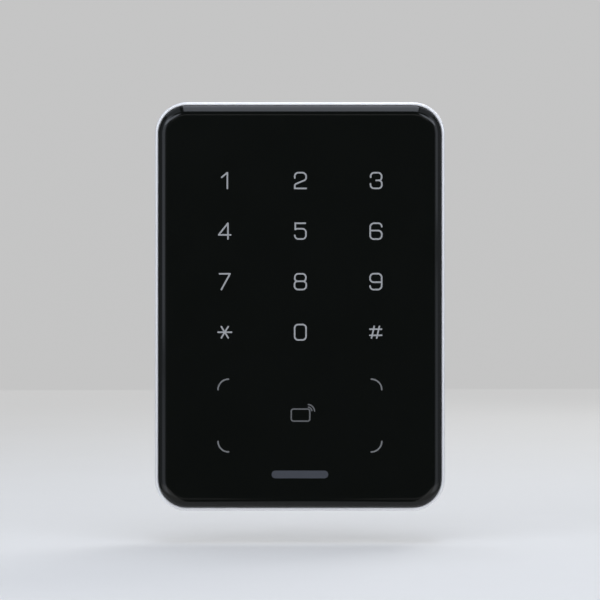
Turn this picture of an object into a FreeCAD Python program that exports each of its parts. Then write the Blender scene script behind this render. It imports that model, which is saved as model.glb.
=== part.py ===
import FreeCAD, Part
import math
import os

# RFID card reader with a touch keypad, as it hangs on its steel wall bracket.
# Frame: millimetres, +Z up, +X to the right for a person facing the glass, +Y into the wall.
# The wall plane is Y = 0, the origin is the middle of the wall screw pattern, and the glass faces -Y.

V = FreeCAD.Vector
SIDES = (-1, 1)
BEYOND = 1.0  # how far a cutter runs past the surface that it opens

# ---- the whole reader ----
WIDTH = 83.0
HEIGHT = 117.0
DEPTH = 17.5
CORNER_R = 9.2

# ---- stack of layers along Y, front to back ----
GLASS_FRONT = -DEPTH
GLASS_THICK = 2.4
GLASS_BACK = GLASS_FRONT + GLASS_THICK
GLASS_EDGE_WIDTH = 3.1
GLASS_EDGE_DEPTH = 1.8
GLASS_PROUD = 1.6
RIM_FRONT = GLASS_FRONT + GLASS_PROUD
ADHESIVE_THICK = 0.2
FILM_THICK = 0.15
FOIL = 0.1
LEDGE_FRONT = GLASS_BACK + ADHESIVE_THICK
LEDGE_BACK = LEDGE_FRONT + 1.5
TOUCH_FRONT = LEDGE_FRONT + 0.15
TOUCH_BACK = TOUCH_FRONT + 1.0
CARRIER_FRONT = TOUCH_BACK + 0.15
CARRIER_STEP = LEDGE_BACK + 0.05
BOARD_FRONT = -10.8
BOARD_BACK = BOARD_FRONT + 1.2
CARRIER_BACK = BOARD_FRONT - 0.05
FRAME_BACK = -3.6
COVER_INNER = FRAME_BACK
COVER_FRONT = FRAME_BACK + 0.2
COVER_BACK = -0.8
RECESS_FLOOR = -1.5

# ---- metal frame ----
WALL = 2.0
RIM_WIDTH = 0.9
RIM_EDGE_R = 0.5
RIM_INNER_R = 0.2
SMALL_EDGE_R = 0.3
GLASS_GAP = 0.1
GLASS_INSET = RIM_WIDTH + GLASS_GAP
LEDGE_WIDTH = 3.0
LEDGE_INSET = WALL + LEDGE_WIDTH
BOARD_INSET = WALL + 0.5
BOSS_X = 36.0
BOSS_Z = 50.4
BOSS_R = 3.0
BOSS_BACK = -5.8
BOSS_WEB = 2.0
RELIEF_X = 32.6
RELIEF_Z = 47.0
THREAD_GAP = 0.05

# ---- screws inside the reader ----
BOARD_SCREW_X = 37.6
BOARD_SCREW_ROWS = (40.0, 0.0, -40.0)
BOARD_SCREW_R = 0.8
BOARD_SCREW_TIP = -14.4
BOARD_SCREW_HEAD_R = 1.75
BOARD_SCREW_HEAD = 1.2
COVER_SCREW_R = 1.2
COVER_SCREW_TIP = -11.0
COVER_SCREW_HEAD_R = 2.25
COVER_SCREW_HEAD = 1.5
COVER_SCREW_SINK = 1.9

# ---- wall bracket ----
PLATE = 1.2
PLATE_HALF_X = 28.0
PLATE_HALF_Z = 46.5
PLATE_R = 4.0
EAR_HALF_X = 35.3
EAR_HALF_Z = 10.0
EAR_R = 3.0
NECK_HALF_X = 7.0
WIDE_SPACING = 60.3
TALL_SPACING = 83.3
SLOT_R = 2.1
SLOT_LENGTH = 7.0
WINDOW_HALF_X = 17.0
WINDOW_LOW = -24.0
WINDOW_HIGH = 26.0
SLIDE_GAP = 0.6

# ---- hooks that the reader drops onto, and the lift that frees it ----
LIFT = 6.0
HOOK_X = 18.0
HOOK_HALF_X = 5.0
HOOK_Z = 33.0
HOOK_REACH = 3.9
HOOK_RISE = 6.2
HOOK_BEND_R = 1.1
HOOK_SIDE_GAP = 0.5
HOOK_WINDOW_TOP = HOOK_Z + HOOK_RISE + 2.6
POCKET_GAP = 0.5
POCKET_WALL = 1.0
LIP_GAP = 0.1

# ---- lock screw, washer and the notch in the foot of the frame ----
NOTCH_HALF_X = 8.0
NOTCH_FRONT = -9.4
NOTCH_TOP = -54.5
LUG_WALL = 1.4
LUG_TOP = -47.5
TAB_TOP = -54.8
TAB_LOW = TAB_TOP - PLATE
TAB_FRONT = -9.0
TAB_BEND_R = 1.3
LOCK_Y = -6.1
LOCK_R = 1.5
LOCK_LENGTH = 7.6
LOCK_HEAD_R = 2.7
LOCK_HEAD = 1.65
LOCK_HOLE_TOP = -48.55
SOCKET_FLATS = 2.0
SOCKET_DEPTH = 1.1
WASHER = 0.6
WASHER_GAP = 0.06
SEAT_GAP = 0.02

# ---- tamper plunger, pressed home by the wall ----
TAMPER_X = 22.0
TAMPER_Z = -38.0
TAMPER_R = 1.9
TAMPER_TIP = -0.1
TAMPER_TRAVEL = 1.5
TAMPER_GUIDE_GAP = 0.08
COLLAR_R = 3.1
COLLAR = 0.8
COLLAR_BACK = COVER_INNER - 0.1 - TAMPER_TRAVEL
COLLAR_FRONT = COLLAR_BACK - COLLAR
SWITCH_HALF_X = 1.6
SWITCH_HALF_Z = 1.3
SWITCH_HEIGHT = 1.4
SWITCH_BUTTON_R = 0.7
SWITCH_BUTTON = 0.4
NOSE_R = 0.8
NOSE_GAP = 0.1
SPRING_R = 2.5
SPRING_WIRE = 0.5
SPRING_TURNS = 4.5
SPRING_END_GAP = 0.05

# ---- keypad and card zone, as laid out behind the glass ----
KEY_PITCH_X = 21.6
KEY_PITCH_Z = 14.4
TOP_ROW_Z = 35.8
KEY_CENTRES = [
    ((column - 1) * KEY_PITCH_X, TOP_ROW_Z - row * KEY_PITCH_Z)
    for row in range(4)
    for column in range(3)
]
CARD_CENTRE = (0.0, -31.5)
CARD_HALF_X = 22.0
CARD_HALF_Z = 9.0
CARD_CORNERS = [
    (sx * CARD_HALF_X, CARD_CENTRE[1] + sz * CARD_HALF_Z) for sx in SIDES for sz in SIDES
]
LINK_Z = 47.0

# ---- cable gland ----
GLAND_Z = 12.0
GLAND_BORE_R = 3.0
GLAND_NECK_R = 4.9
GLAND_FLANGE_R = 6.4
GLAND_FLANGE = 0.8
GLAND_FRONT = -5.0

# ---- buzzer and label ----
BUZZER_X = -10.5
BUZZER_Z = -14.0
BUZZER_R = 4.6
BUZZER_HEIGHT = 4.2
SOUND_HOLE_R = 0.55
SOUND_RING_R = 2.0
LABEL_CENTRE = (6.5, -13.5)
LABEL_HALF_X = 9.0
LABEL_HALF_Z = 6.0
LABEL_SINK = 0.15


# ---------------------------------------------------------------- shape helpers


def outline(half_x, half_z, radius, y, centre=(0.0, 0.0)):
    """A closed rounded-rectangle wire in the plane Y = y."""
    cx, cz = centre
    mid = radius * (1 - math.sqrt(0.5))
    x0, x1, z0, z1 = cx - half_x, cx + half_x, cz - half_z, cz + half_z
    corners = [
        ((x1 - radius, z0), (x1 - mid, z0 + mid), (x1, z0 + radius)),
        ((x1, z1 - radius), (x1 - mid, z1 - mid), (x1 - radius, z1)),
        ((x0 + radius, z1), (x0 + mid, z1 - mid), (x0, z1 - radius)),
        ((x0, z0 + radius), (x0 + mid, z0 + mid), (x0 + radius, z0)),
    ]
    edges = []
    last = corners[-1][2]
    for first, middle, end in corners:
        edges.append(Part.LineSegment(V(last[0], y, last[1]), V(first[0], y, first[1])).toShape())
        points = [V(x, y, z) for x, z in (first, middle, end)]
        edges.append(Part.Arc(*points).toShape())
        last = end
    return Part.Wire(edges)


def slab(half_x, half_z, radius, front, back, centre=(0.0, 0.0)):
    """A rounded-rectangle plate that fills Y from front to back."""
    return Part.Face(outline(half_x, half_z, radius, front, centre)).extrude(V(0, back - front, 0))


def inset_slab(inset, front, back):
    """A slab whose outline is the reader's own, moved in by inset all round."""
    return slab(WIDTH / 2 - inset, HEIGHT / 2 - inset, CORNER_R - inset, front, back)


def block(x0, x1, y0, y1, z0, z1):
    return Part.makeBox(x1 - x0, y1 - y0, z1 - z0, V(x0, y0, z0))


def tile(x, z, half_x, half_z, front, back):
    """A sharp-cornered block centred on x, z that fills Y from front to back."""
    return block(x - half_x, x + half_x, front, back, z - half_z, z + half_z)


def rod(radius, front, back, x, z):
    """A cylinder along Y."""
    return Part.makeCylinder(radius, back - front, V(x, front, z), V(0, 1, 0))


def pillar(radius, low, high, x, y):
    """A cylinder along Z."""
    return Part.makeCylinder(radius, high - low, V(x, y, low), V(0, 0, 1))


def screw_slot(x, z, along_x):
    """A cutter for one round-ended slot of the wall bracket."""
    run = SLOT_LENGTH / 2 - SLOT_R
    step = V(run, 0, 0) if along_x else V(0, 0, run)
    front, back = -PLATE - BEYOND, BEYOND
    ends = [rod(SLOT_R, front, back, x + side * step.x, z + side * step.z) for side in SIDES]
    half_x, half_z = (run, SLOT_R) if along_x else (SLOT_R, run)
    return union(ends + [tile(x, z, half_x, half_z, front, back)])


def union(shapes):
    whole = shapes[0]
    for shape in shapes[1:]:
        whole = whole.fuse(shape)
    return whole.removeSplitter()


def cut(shape, *tools):
    for tool in tools:
        shape = shape.cut(tool)
    return shape


def rounded(shape, radius, test):
    """Fillets the edges whose every vertex and middle point pass the test."""
    chosen = []
    for edge in shape.Edges:
        middle = edge.valueAt((edge.FirstParameter + edge.LastParameter) / 2)
        if all(test(point) for point in [middle] + [vertex.Point for vertex in edge.Vertexes]):
            chosen.append(edge)
    return shape.makeFillet(radius, chosen)


def same(a, b):
    return abs(a - b) < 1e-4


def at_y(y):
    return lambda p: same(p.y, y)


def cross_cut(shape, x, z, top, reach, half, deep):
    """Cuts a cross recess into a screw head that faces +Y."""
    wide = tile(x, z, reach, half, top - deep, top + BEYOND)
    tall = tile(x, z, half, reach, top - deep, top + BEYOND)
    return cut(shape, wide, tall)


def cover_screw_places():
    return [(sx * BOSS_X, sz * BOSS_Z) for sx in SIDES for sz in SIDES]


def board_screw_places():
    """The six screws that clamp board and light carrier to the frame's ledge."""
    return [(side * BOARD_SCREW_X, z) for side in SIDES for z in BOARD_SCREW_ROWS]


def corner_reliefs(front, back):
    """Cutters that take the corners off a plate where the cover screw bosses stand."""
    reliefs = []
    for sx in SIDES:
        for sz in SIDES:
            x = sorted((sx * RELIEF_X, sx * WIDTH))
            z = sorted((sz * RELIEF_Z, sz * HEIGHT))
            reliefs.append(block(x[0], x[1], front, back, z[0], z[1]))
    return reliefs


def notch():
    """The cutter for the space in the reader's foot that takes the bracket's tab."""
    return block(-NOTCH_HALF_X, NOTCH_HALF_X, NOTCH_FRONT, BEYOND, -HEIGHT, NOTCH_TOP)


# ---------------------------------------------------------------- front of the reader


def front_glass():
    """Black-printed cover glass whose front edge rolls off in a quarter ellipse."""
    squash = GLASS_EDGE_DEPTH / GLASS_EDGE_WIDTH
    pane = rounded(inset_slab(GLASS_INSET, 0, GLASS_THICK / squash), GLASS_EDGE_WIDTH, at_y(0))
    flatten = FreeCAD.Matrix()
    flatten.A22 = squash
    flatten.A24 = GLASS_FRONT
    return pane.transformGeometry(flatten)


def glass_adhesive():
    """Double-sided gasket between the glass and the frame's ledge."""
    margin = 0.2
    outer = inset_slab(GLASS_INSET + margin, GLASS_BACK, LEDGE_FRONT)
    return outer.cut(inset_slab(LEDGE_INSET - margin, GLASS_BACK, LEDGE_FRONT))


def diffuser_film():
    """Milky film behind the printed windows of the glass."""
    return inset_slab(LEDGE_INSET + 0.2, GLASS_BACK, GLASS_BACK + FILM_THICK)


def metal_frame():
    """Die-cast ring: side walls, glass ledge, cover screw bosses and the lug for the lock screw."""
    ring = inset_slab(0, RIM_FRONT, FRAME_BACK)
    ring = rounded(ring, RIM_EDGE_R, at_y(RIM_FRONT))
    ring = rounded(ring, SMALL_EDGE_R, at_y(FRAME_BACK))
    ring = cut(
        ring,
        inset_slab(RIM_WIDTH, RIM_FRONT - BEYOND, LEDGE_FRONT),
        inset_slab(WALL, LEDGE_BACK, FRAME_BACK + BEYOND),
        inset_slab(LEDGE_INSET, LEDGE_FRONT - BEYOND, LEDGE_BACK + BEYOND),
    )
    ring = rounded(ring, RIM_INNER_R, at_y(RIM_FRONT))
    solids = [ring]
    for x, z in cover_screw_places():
        web = sorted((x, math.copysign(WIDTH / 2 - WALL / 2, x)))
        solids.append(rod(BOSS_R, LEDGE_BACK, BOSS_BACK, x, z))
        solids.append(block(web[0], web[1], LEDGE_BACK, BOSS_BACK, z - BOSS_WEB, z + BOSS_WEB))
    lug_half = NOTCH_HALF_X + LUG_WALL
    lug_low = -HEIGHT / 2 + WALL / 2
    solids.append(block(-lug_half, lug_half, NOTCH_FRONT - 1.2, FRAME_BACK, lug_low, LUG_TOP))
    holes = [notch(), pillar(LOCK_R + THREAD_GAP, NOTCH_TOP - BEYOND, LOCK_HOLE_TOP, 0, LOCK_Y)]
    for x, z in cover_screw_places():
        holes.append(rod(COVER_SCREW_R + THREAD_GAP, COVER_SCREW_TIP - 1, BOSS_BACK + BEYOND, x, z))
    for x, z in board_screw_places():
        holes.append(rod(BOARD_SCREW_R + THREAD_GAP, BOARD_SCREW_TIP - 0.1, LEDGE_BACK + BEYOND, x, z))
    return cut(union(solids), *holes)


# ---------------------------------------------------------------- electronics


def light_windows(half_x, half_z, front, back):
    """Cutters for the light: one per key, one for the card symbol, one per card corner."""
    windows = [slab(half_x, half_z, 1.0, front, back, centre) for centre in KEY_CENTRES]
    windows.append(slab(half_x + 0.4, half_z - 0.4, 1.0, front, back, CARD_CENTRE))
    for centre in CARD_CORNERS:
        windows.append(slab(2.4, 2.4, 0.8, front, back, centre))
    return windows


def touch_board():
    """Thin board that carries the touch pads, with light windows under the legends."""
    board = inset_slab(LEDGE_INSET + 0.3, TOUCH_FRONT, TOUCH_BACK)
    return cut(board, *light_windows(3.0, 3.4, TOUCH_FRONT - BEYOND, TOUCH_BACK + BEYOND))


def touch_pads():
    """Twelve copper sensing pads, one ring round each key's light window."""
    front = TOUCH_FRONT - FOIL
    pads = []
    for centre in KEY_CENTRES:
        pad = slab(8.4, 5.8, 1.6, front, TOUCH_FRONT, centre)
        pads.append(pad.cut(slab(3.3, 3.7, 1.0, front - BEYOND, TOUCH_FRONT + BEYOND, centre)))
    return Part.makeCompound(pads)


def antenna_coil():
    """Four flat copper turns round the card zone."""
    track, pitch = 0.4, 0.8
    turns = []
    for turn in range(4):
        half_x, half_z, radius = 33.6 - turn * pitch, 17.4 - turn * pitch, 3.0
        outer = slab(half_x, half_z, radius, TOUCH_BACK, TOUCH_BACK + FOIL, CARD_CENTRE)
        inner_size = (half_x - track, half_z - track, radius - track)
        inner = slab(*inner_size, TOUCH_BACK - BEYOND, TOUCH_BACK + BEYOND, CARD_CENTRE)
        turns.append(outer.cut(inner))
    return Part.makeCompound(turns)


def light_carrier():
    """White moulding that keeps each legend's light apart and holds both boards."""
    nose = inset_slab(LEDGE_INSET + 0.6, CARRIER_FRONT, CARRIER_STEP)
    flange = inset_slab(BOARD_INSET, CARRIER_STEP, CARRIER_BACK)
    front, back = CARRIER_FRONT - BEYOND, CARRIER_BACK + BEYOND
    link_room = tile(0, LINK_Z, 8.2, 1.6, front, back)
    holes = [rod(BOARD_SCREW_R + 0.2, front, back, x, z) for x, z in board_screw_places()]
    cells = light_windows(4.4, 4.8, front, back)
    return cut(union([nose, flange]), link_room, *cells, *holes, *corner_reliefs(LEDGE_BACK, back))


def backlight_leds():
    """One LED behind each legend and each card corner."""
    leds = []
    for x, z in KEY_CENTRES + [CARD_CENTRE] + CARD_CORNERS:
        base = tile(x, z, 1.5, 0.75, BOARD_FRONT - 0.5, BOARD_FRONT)
        lens = tile(x, z, 0.9, 0.65, BOARD_FRONT - 0.8, BOARD_FRONT - 0.5)
        leds.append(union([base, lens]))
    return Part.makeCompound(leds)


def board_link():
    """Board-to-board connector that passes through the light carrier."""
    return tile(0, LINK_Z, 7.6, 1.2, TOUCH_BACK, BOARD_FRONT)


def main_board():
    """Main circuit board."""
    board = inset_slab(BOARD_INSET, BOARD_FRONT, BOARD_BACK)
    front, back = BOARD_FRONT - BEYOND, BOARD_BACK + BEYOND
    lug_half = NOTCH_HALF_X + LUG_WALL + 0.8
    lug_room = block(-lug_half, lug_half, front, back, -HEIGHT, LUG_TOP + 0.8)
    holes = [rod(BOARD_SCREW_R + 0.3, front, back, x, z) for x, z in board_screw_places()]
    return cut(board, lug_room, *holes, *corner_reliefs(front, back))


def board_screws():
    """Six pan-head screws through board and carrier into the ledge."""
    top = BOARD_BACK + BOARD_SCREW_HEAD
    screws = []
    for x, z in board_screw_places():
        shank = rod(BOARD_SCREW_R, BOARD_SCREW_TIP, BOARD_BACK, x, z)
        head = rounded(rod(BOARD_SCREW_HEAD_R, BOARD_BACK, top, x, z), 0.4, at_y(top))
        screws.append(cross_cut(union([shank, head]), x, z, top, reach=1.0, half=0.3, deep=0.7))
    return Part.makeCompound(screws)


def microcontroller():
    """Square flat package with twelve leads on each side."""
    x, z, half = 8.0, 38.5, 3.5
    lead, pitch, count = 1.0, 0.5, 12
    solids = [tile(x, z, half, half, BOARD_BACK + 0.1, BOARD_BACK + 1.5)]
    for n in range(count):
        step = (n - (count - 1) / 2) * pitch
        for side in SIDES:
            reach = side * (half + lead / 2)
            solids.append(tile(x + step, z + reach, 0.1, lead / 2, BOARD_BACK, BOARD_BACK + 0.3))
            solids.append(tile(x + reach, z + step, lead / 2, 0.1, BOARD_BACK, BOARD_BACK + 0.3))
    return union(solids)


def reader_chip():
    """Card reader chip, a leadless package near the antenna."""
    return tile(-25.0, -22.0, 2.5, 2.5, BOARD_BACK, BOARD_BACK + 0.9)


def clock_crystal():
    """Low metal can beside the card reader chip."""
    top = BOARD_BACK + 1.0
    return rounded(tile(-25.0, -29.9, 2.3, 1.6, BOARD_BACK, top), 0.4, at_y(top))


def power_inductor():
    """Square ferrite body with a round winding cap."""
    x, z, top = -28.0, 5.0, BOARD_BACK + 2.8
    return union([tile(x, z, 3.0, 3.0, BOARD_BACK, top), rod(2.4, top, top + 0.3, x, z)])


def power_capacitors():
    """Two electrolytic cans on square bases."""
    x, base_top, top = -28.0, BOARD_BACK + 0.5, BOARD_BACK + 5.4
    cans = []
    for z in (14.5, -5.0):
        base = tile(x, z, 3.3, 3.3, BOARD_BACK, base_top)
        can = rounded(rod(3.1, base_top, top, x, z), 0.4, at_y(top))
        cans.append(union([base, can]))
    return Part.makeCompound(cans)


def chip_parts():
    """Four staggered rows of small resistors and capacitors."""
    pitch = 2.6
    parts = []
    for row, z in enumerate((26.0, 22.5, -24.0, -27.5)):
        first = 8.5 + (row % 2) * pitch / 2
        for n in range(7):
            parts.append(tile(first + n * pitch, z, 0.8, 0.4, BOARD_BACK, BOARD_BACK + 0.55))
    return Part.makeCompound(parts)


def wire_header():
    """Ten-way header for the cable's wires, open towards the back."""
    z, floor, top = -3.0, BOARD_BACK + 1.0, BOARD_BACK + 4.6
    pitch, ways = 2.2, 10
    shell = tile(0, z, 12.5, 3.0, BOARD_BACK, top)
    cavity = tile(0, z, 11.7, 2.2, floor, top + BEYOND)
    pins = [
        tile((n - (ways - 1) / 2) * pitch, z, 0.25, 0.25, floor, top - 0.4) for n in range(ways)
    ]
    return union([shell.cut(cavity)] + pins)


def buzzer():
    """Round sounder with its outlet facing the cover."""
    top = BOARD_BACK + BUZZER_HEIGHT
    can = rounded(rod(BUZZER_R, BOARD_BACK, top, BUZZER_X, BUZZER_Z), 0.4, at_y(top))
    return can.cut(rod(1.2, top - 0.8, top + BEYOND, BUZZER_X, BUZZER_Z))


# ---------------------------------------------------------------- tamper switch


def tamper_switch():
    """Small push switch on the main board."""
    top = BOARD_BACK + SWITCH_HEIGHT
    body = tile(TAMPER_X, TAMPER_Z, SWITCH_HALF_X, SWITCH_HALF_Z, BOARD_BACK, top)
    return union([body, rod(SWITCH_BUTTON_R, top, top + SWITCH_BUTTON, TAMPER_X, TAMPER_Z)])


def tamper_spring():
    """Compression spring round the switch, from the board to the plunger's collar."""
    height = COLLAR_FRONT - BOARD_BACK - SPRING_WIRE - 2 * SPRING_END_GAP
    helix = Part.makeHelix(height / SPRING_TURNS, height, SPRING_R)
    section = Part.Circle(V(SPRING_R, 0, 0), V(0, 1, 0), SPRING_WIRE / 2).toShape()
    coil = Part.Wire(helix).makePipeShell([Part.Wire(section)], True, True)
    coil.rotate(V(0, 0, 0), V(1, 0, 0), -90)
    coil.translate(V(TAMPER_X, BOARD_BACK + SPRING_WIRE / 2 + SPRING_END_GAP, TAMPER_Z))
    return coil


def tamper_plunger():
    """Pin through the back cover, with a collar for the spring and a nose for the switch."""
    nose_tip = BOARD_BACK + SWITCH_HEIGHT + SWITCH_BUTTON + NOSE_GAP
    pin = rounded(rod(TAMPER_R, COLLAR_FRONT, TAMPER_TIP, TAMPER_X, TAMPER_Z), 0.7, at_y(TAMPER_TIP))
    collar = rod(COLLAR_R, COLLAR_FRONT, COLLAR_BACK, TAMPER_X, TAMPER_Z)
    nose = rod(NOSE_R, nose_tip, COLLAR_FRONT, TAMPER_X, TAMPER_Z)
    return union([pin, collar, nose])


# ---------------------------------------------------------------- back of the reader


def edge_ring(outer, inner, front, back, spread):
    """A thin ring near the reader's edge that steps in round the notch in its foot."""
    outer_half = NOTCH_HALF_X + spread
    inner_half = outer_half + inner - outer
    outer_step = block(
        -outer_half, outer_half, front - BEYOND, back + BEYOND, -HEIGHT, NOTCH_TOP + spread
    )
    inner_step = block(
        -inner_half, inner_half, front - BEYOND, back + BEYOND, -HEIGHT, NOTCH_TOP + spread + inner - outer
    )
    body = inset_slab(outer, front, back).cut(outer_step)
    return body.cut(inset_slab(inner, front - BEYOND, back + BEYOND).cut(inner_step))


def housing_seal():
    """Silicone ring squeezed between the frame and the back cover."""
    return edge_ring(0.95, 1.75, FRAME_BACK, COVER_FRONT + 0.6, 0.3)


def bracket_recess():
    """The shallow space in the cover's back for the bracket and its slide of LIFT."""
    half_x, half_z = PLATE_HALF_X + SLIDE_GAP, PLATE_HALF_Z + SLIDE_GAP + LIFT / 2
    ear_x, ear_z = EAR_HALF_X + SLIDE_GAP, EAR_HALF_Z + SLIDE_GAP + LIFT / 2
    middle = (0.0, -LIFT / 2)
    body = slab(half_x, half_z, PLATE_R, RECESS_FLOOR, BEYOND, middle)
    ears = slab(ear_x, ear_z, EAR_R, RECESS_FLOOR, BEYOND, middle)
    neck = block(-NOTCH_HALF_X, NOTCH_HALF_X, RECESS_FLOOR, BEYOND, -HEIGHT, -PLATE_HALF_Z)
    return union([body, ears, neck])


def hook_pockets():
    """(bodies, cavities) of the blind pockets that take the bracket's hooks."""
    half = HOOK_HALF_X + 2 * POCKET_GAP
    low = HOOK_Z - LIFT - POCKET_GAP
    lip = HOOK_Z + PLATE + LIP_GAP
    high = HOOK_Z + HOOK_RISE + POCKET_GAP
    front = -(PLATE + HOOK_REACH) - POCKET_GAP
    wall = POCKET_WALL
    bodies, cavities = [], []
    for side in SIDES:
        x0, x1 = side * HOOK_X - half, side * HOOK_X + half
        bodies.append(block(x0 - wall, x1 + wall, front - wall, COVER_INNER, low - wall, high + wall))
        cavities.append(block(x0, x1, front, COVER_INNER, low, high))
        cavities.append(block(x0, x1, front, BEYOND, low, lip))
    return bodies, cavities


def sound_holes():
    """One hole in the middle and six round it, over the buzzer."""
    places = [(BUZZER_X, BUZZER_Z)]
    for n in range(6):
        angle = math.radians(60 * n)
        places.append((BUZZER_X + SOUND_RING_R * math.cos(angle), BUZZER_Z + SOUND_RING_R * math.sin(angle)))
    return [rod(SOUND_HOLE_R, COVER_INNER - BEYOND, 0, x, z) for x, z in places]


def rear_cover():
    """Black moulding: flange, spigot, bracket recess, hook pockets and screw pads."""
    inner_front = COVER_INNER - 2.0
    flange = rounded(inset_slab(0.3, COVER_FRONT, COVER_BACK), 0.8, at_y(COVER_BACK))
    spigot = inset_slab(WALL + 0.2, inner_front, COVER_FRONT)
    hollow = inset_slab(WALL + 2.2, inner_front - BEYOND, COVER_INNER)
    lug_half = NOTCH_HALF_X + LUG_WALL + 0.2
    lug_room = block(-lug_half, lug_half, inner_front - BEYOND, COVER_INNER, -HEIGHT, LUG_TOP + 0.3)
    shell = cut(union([flange, spigot]), hollow, lug_room)
    pockets, cavities = hook_pockets()
    pads = [rod(BOSS_R - 0.3, BOSS_BACK + 0.1, COVER_INNER, x, z) for x, z in cover_screw_places()]
    rib_half = WIDTH / 2 - WALL - 2.0
    ribs = [
        tile(0, z, rib_half, 0.6, COVER_INNER - 1.2, COVER_INNER) for z in (21.0, -22.0, -30.5)
    ]
    seal_groove = edge_ring(0.9, 1.8, COVER_FRONT - BEYOND, COVER_FRONT + 0.6, 0.25)
    deep_front = COVER_INNER - 3.0
    tools = [
        seal_groove,
        notch(),
        bracket_recess(),
        rod(GLAND_NECK_R + 0.1, deep_front, BEYOND, 0, GLAND_Z),
        rod(GLAND_FLANGE_R + 0.1, RECESS_FLOOR - GLAND_FLANGE, BEYOND, 0, GLAND_Z),
        rod(TAMPER_R + TAMPER_GUIDE_GAP, deep_front, BEYOND, TAMPER_X, TAMPER_Z),
        rod(COLLAR_R + 0.9, deep_front, COVER_INNER, TAMPER_X, TAMPER_Z),
        rod(BUZZER_R + 0.6, deep_front, COVER_INNER, BUZZER_X, BUZZER_Z),
        slab(LABEL_HALF_X + 0.2, LABEL_HALF_Z + 0.2, 0.8, RECESS_FLOOR - LABEL_SINK, BEYOND, LABEL_CENTRE),
    ]
    for x, z in cover_screw_places():
        tools.append(rod(COVER_SCREW_HEAD_R + 0.3, COVER_BACK - COVER_SCREW_SINK, BEYOND, x, z))
        tools.append(rod(COVER_SCREW_R + 0.2, BOSS_BACK - BEYOND, BEYOND, x, z))
    return cut(union([shell] + pockets + pads + ribs), *tools, *cavities, *sound_holes())


def vent_membrane():
    """Waterproof disc over the sound holes, stuck to the inside of the cover."""
    return rod(SOUND_RING_R + 1.6, COVER_INNER - 0.2, COVER_INNER, BUZZER_X, BUZZER_Z)


def cable_gland():
    """Rubber bush that the cable passes through."""
    neck = rod(GLAND_NECK_R, GLAND_FRONT, RECESS_FLOOR, 0, GLAND_Z)
    outer = rod(GLAND_FLANGE_R, RECESS_FLOOR - GLAND_FLANGE, RECESS_FLOOR, 0, GLAND_Z)
    inner = rod(GLAND_FLANGE_R - 0.4, GLAND_FRONT, COVER_INNER, 0, GLAND_Z)
    return union([neck, outer, inner]).cut(rod(GLAND_BORE_R, GLAND_FRONT - BEYOND, BEYOND, 0, GLAND_Z))


def rating_label():
    """Blank adhesive plate on the back cover."""
    front, back = RECESS_FLOOR - LABEL_SINK, RECESS_FLOOR - 0.02
    return slab(LABEL_HALF_X, LABEL_HALF_Z, 0.6, front, back, LABEL_CENTRE)


def cover_screws():
    """Four pan-head screws that pull the cover onto the frame."""
    seat = COVER_BACK - COVER_SCREW_SINK
    top = seat + COVER_SCREW_HEAD
    screws = []
    for x, z in cover_screw_places():
        shank = rod(COVER_SCREW_R, COVER_SCREW_TIP, seat, x, z)
        head = rounded(rod(COVER_SCREW_HEAD_R, seat, top, x, z), 0.5, at_y(top))
        screws.append(cross_cut(union([shank, head]), x, z, top, reach=1.25, half=0.35, deep=0.9))
    return Part.makeCompound(screws)


# ---------------------------------------------------------------- wall bracket and lock screw


def bracket_hook(x):
    """A tongue lanced from the plate, bent forward and then up."""
    front = -(PLATE + HOOK_REACH)
    x0, x1, top = x - HOOK_HALF_X, x + HOOK_HALF_X, HOOK_Z + HOOK_RISE
    web = block(x0, x1, front, 0, HOOK_Z, HOOK_Z + PLATE)
    tongue = block(x0, x1, front, front + PLATE, HOOK_Z, top)
    hook = rounded(union([web, tongue]), HOOK_BEND_R, lambda p: same(p.y, front) and same(p.z, HOOK_Z))
    return rounded(hook, 1.5, lambda p: same(p.z, top) and same(abs(p.x - x), HOOK_HALF_X))


def bracket_foot():
    """The plate's narrow neck and the tab that it turns forward into the notch."""
    neck = block(-NECK_HALF_X, NECK_HALF_X, -PLATE, 0, TAB_LOW, -PLATE_HALF_Z + BEYOND)
    tab = block(-NECK_HALF_X, NECK_HALF_X, TAB_FRONT, 0, TAB_LOW, TAB_TOP)
    foot = rounded(union([neck, tab]), TAB_BEND_R, lambda p: same(p.y, 0) and same(p.z, TAB_LOW))
    return rounded(foot, 1.5, lambda p: same(p.y, TAB_FRONT) and same(abs(p.x), NECK_HALF_X))


def wall_bracket():
    """Stamped steel plate with screw slots, two hooks and a bottom tab for the lock screw."""
    front = -PLATE - BEYOND
    plate = union(
        [
            slab(PLATE_HALF_X, PLATE_HALF_Z, PLATE_R, -PLATE, 0),
            slab(EAR_HALF_X, EAR_HALF_Z, EAR_R, -PLATE, 0),
        ]
    )
    hook_window_half = HOOK_HALF_X + HOOK_SIDE_GAP
    hooks = []
    for side in SIDES:
        x = side * HOOK_X
        window = block(
            x - hook_window_half, x + hook_window_half, front, BEYOND, HOOK_Z + PLATE, HOOK_WINDOW_TOP
        )
        plate = plate.cut(window)
        hooks.append(bracket_hook(x))
    cable_half = (WINDOW_HIGH - WINDOW_LOW) / 2
    cable_middle = (0.0, (WINDOW_HIGH + WINDOW_LOW) / 2)
    plunger_middle = (TAMPER_X, TAMPER_Z + LIFT / 2)
    tools = [
        slab(WINDOW_HALF_X, cable_half, 3.0, front, BEYOND, cable_middle),
        slab(3.0, TAMPER_R + 0.7 + LIFT / 2, 1.2, front, BEYOND, plunger_middle),
        pillar(LOCK_R + 0.15, TAB_LOW - BEYOND, TAB_TOP + BEYOND, 0, LOCK_Y),
    ]
    for side in SIDES:
        tools.append(screw_slot(side * WIDE_SPACING / 2, 0.0, along_x=True))
        tools.append(screw_slot(0.0, side * TALL_SPACING / 2, along_x=False))
    return cut(union([plate, bracket_foot()] + hooks), *tools)


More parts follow.
